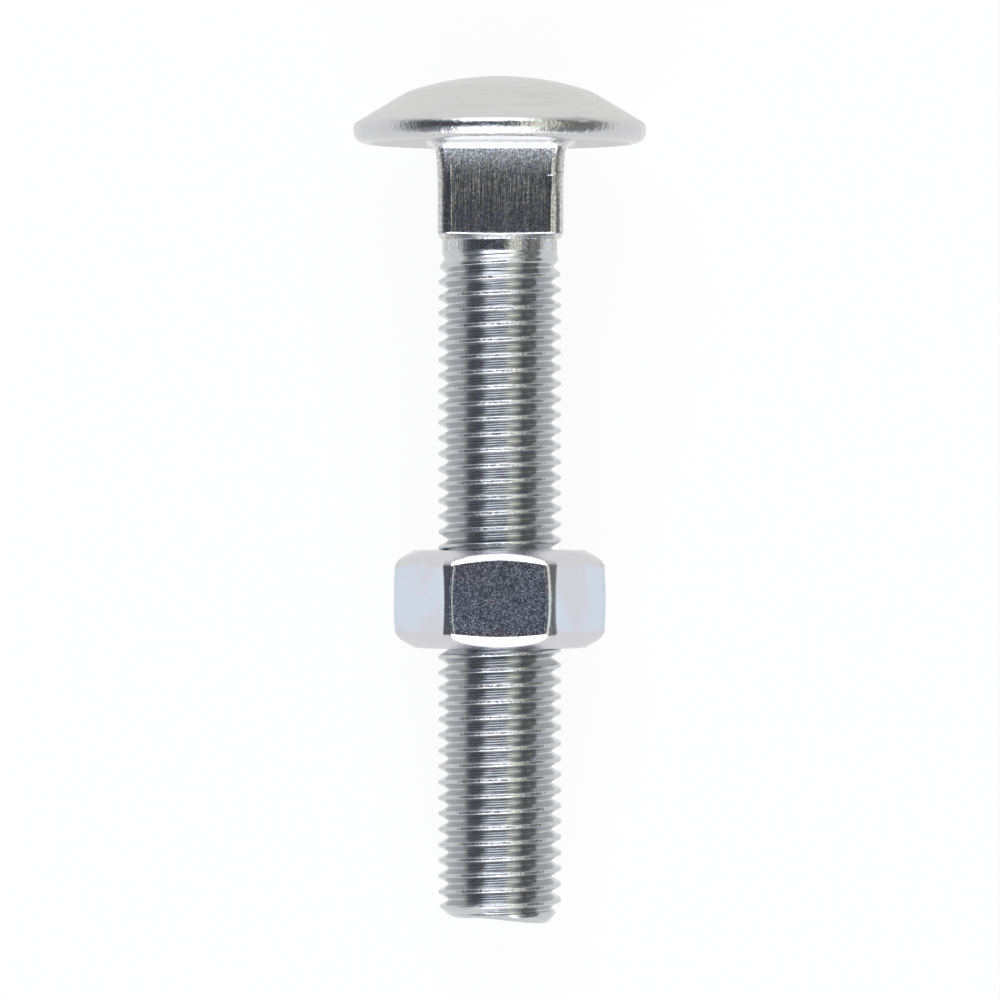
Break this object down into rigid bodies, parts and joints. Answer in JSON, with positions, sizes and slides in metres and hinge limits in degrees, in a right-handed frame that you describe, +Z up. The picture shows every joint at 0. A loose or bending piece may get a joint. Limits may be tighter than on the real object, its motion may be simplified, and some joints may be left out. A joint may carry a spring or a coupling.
{
  "type": "carriage bolt with nut",
  "caption": "Cup head square neck carriage bolt with a coarse right-hand thread, a sheared bevelled point and a hexagon nut run on to it.",
  "frame": {"origin": "on the ground, under the middle of the bolt as it lies at rest on the rim of its head and one flat of the nut", "axes": "+Y towards the head, +Z up, +X to the right when looking down with the head at the top"},
  "size_m": [0.0374, 0.1081, 0.0374],
  "materials": {
    "bolt_zinc": "bright zinc plated steel, satin on the crown, drawn streaks on the neck",
    "nut_zinc": "blue-white zinc plated steel with a fine grain on the flats"
  },
  "bodies": {
    "bolt": {"carriage_bolt": "bolt_zinc"},
    "nut": {"hex_nut": "nut_zinc"}
  },
  "joints": [
    {"name": "nut_travel", "type": "slide", "parent": "bolt", "child": "nut", "axis": [0, -0.9945, -0.1049], "range_m": [-0.034, 0.05]}
  ]
}
